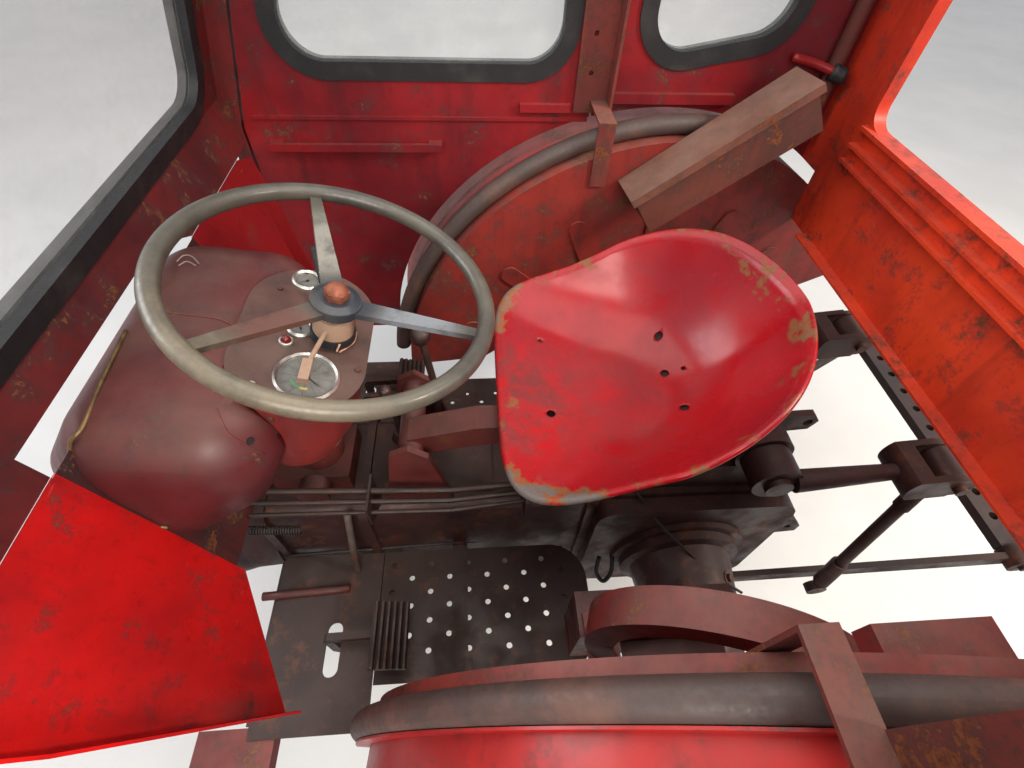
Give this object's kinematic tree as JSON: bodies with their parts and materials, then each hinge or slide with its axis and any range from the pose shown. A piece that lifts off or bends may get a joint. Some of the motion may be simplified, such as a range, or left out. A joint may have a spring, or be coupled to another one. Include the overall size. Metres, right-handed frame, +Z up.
{
  "type": "operator's station of a vintage tractor",
  "caption": "Cab, pan seat, steering, footplates, fenders, rear axle and hitch of a vintage farm tractor, with hinged doors, turning hubs and a moving linkage.",
  "frame": {"origin": "centre of the engine flange face, level with the rear axle", "axes": "+X forward, +Y to the tractor's left, +Z up"},
  "size_m": [1.8959, 2.2572, 1.6867],
  "materials": {
    "red_paint": "glossy, scratched and chipped",
    "dark_red_paint": "faded, dusty and rusty",
    "rusty_casting": "oily, with worn red paint and rust",
    "rusty_steel": "rusty",
    "black_plate": "oily black",
    "bare_steel": "worn bright",
    "rubber": "weathered",
    "grey_rubber": "weathered grey",
    "glass": "dusty",
    "wheel_plastic": "worn, with pale edges",
    "pale_plastic": "aged",
    "black_plastic": "worn",
    "gauge": "dull bezel"
  },
  "bodies": {
    "station": {"clutch_housing": "rusty_casting", "gearbox_case": "rusty_casting", "rear_axle_case": "rusty_casting", "axle_trumpets": "rusty_casting", "lift_cover": "rusty_casting", "fender_brackets": "rusty_steel", "fenders": "dark_red_paint", "arch_frames": "dark_red_paint", "arch_seals": "grey_rubber", "fender_strap": "rusty_steel", "footplates": "black_plate", "footplate_brackets": "black_plate", "leg_shields": "red_paint", "front_wall": "dark_red_paint", "windscreen_seal": "rubber", "windscreen": "glass", "quarter_panels": "red_paint", "quarter_seals": "rubber", "quarter_glass": "glass", "pillars": "rusty_steel", "rear_wall": "red_paint", "roof": "red_paint", "toolbox": "rusty_steel", "cowl": "dark_red_paint", "instrument_housing": "dark_red_paint", "instrument_panel": "dark_red_paint", "gauges": "gauge", "steering_column": "rusty_casting", "indicator_switch": "pale_plastic", "throttle_lever": "black_plastic", "gear_levers": "black_plastic", "seat_arm": "rusty_casting", "seat_pan": "red_paint", "pipes": "black_plate", "clutch_pedal": "rusty_steel", "brake_pedals": "rusty_steel", "top_link_bracket": "black_plate"},
    "steering_wheel": {"steering_wheel": "wheel_plastic", "steering_shaft": "rusty_casting"},
    "door_l": {"door_l": "red_paint", "door_l_seal": "rubber", "door_l_glass": "glass"},
    "door_r": {"door_r": "red_paint", "door_r_seal": "rubber", "door_r_glass": "glass"},
    "toolbox_lid": {"toolbox_lid": "rusty_steel"},
    "lift_arms": {"lift_arms": "rusty_casting"},
    "lift_rods": {"lift_rods": "rusty_casting"},
    "lower_links": {"lower_links": "rusty_casting", "drawbar": "black_plate"},
    "hub_l": {"wheel_hub_l": "rusty_casting"},
    "hub_r": {"wheel_hub_r": "rusty_casting"},
    "pto": {"pto_shaft": "bare_steel"}
  },
  "joints": [
    {"name": "steering", "type": "hinge", "parent": "station", "child": "steering_wheel", "pos_m": [-0.486, 0, 0.67], "axis": [-0.2924, 0, 0.9563], "range_deg": [-540, 540]},
    {"name": "door_l_hinge", "type": "hinge", "parent": "station", "child": "door_l", "pos_m": [-0.182, 0.622, 0.3], "axis": [0, 0, 1], "range_deg": [-15, 100]},
    {"name": "door_r_hinge", "type": "hinge", "parent": "station", "child": "door_r", "pos_m": [-0.182, -0.622, 0.3], "axis": [0, 0, 1], "range_deg": [0, 115]},
    {"name": "toolbox_lid_hinge", "type": "hinge", "parent": "station", "child": "toolbox_lid", "pos_m": [-1.00729, -0.47684, 0.56449], "axis": [0.8245, 0.0867, -0.5592], "range_deg": [-5, 75]},
    {"name": "lift", "type": "hinge", "parent": "station", "child": "lift_arms", "pos_m": [-1.2, 0, 0.345], "axis": [0, 1, 0], "range_deg": [-28, 0]},
    {"name": "lift_rod", "type": "hinge", "parent": "lift_arms", "child": "lift_rods", "pos_m": [-1.49, 0, 0.38], "axis": [0, 1, 0], "range_deg": [-1, 30]},
    {"name": "lower_link", "type": "hinge", "parent": "station", "child": "lower_links", "pos_m": [-1.24, 0, -0.12], "axis": [0, 1, 0], "range_deg": [-40, 1]},
    {"name": "hub_l_turn", "type": "hinge", "parent": "station", "child": "hub_l", "pos_m": [-1.12, 0.6, 0], "axis": [0, 1, 0], "continuous": true},
    {"name": "hub_r_turn", "type": "hinge", "parent": "station", "child": "hub_r", "pos_m": [-1.12, -0.6, 0], "axis": [0, 1, 0], "continuous": true},
    {"name": "pto_turn", "type": "hinge", "parent": "station", "child": "pto", "pos_m": [-1.4, 0, -0.07], "axis": [1, 0, 0], "continuous": true}
  ],
  "couplings": [
    {"joint": "lift_rod", "follows": "lift", "ratio": -1.06},
    {"joint": "lower_link", "follows": "lift", "ratio": 1.335}
  ]
}
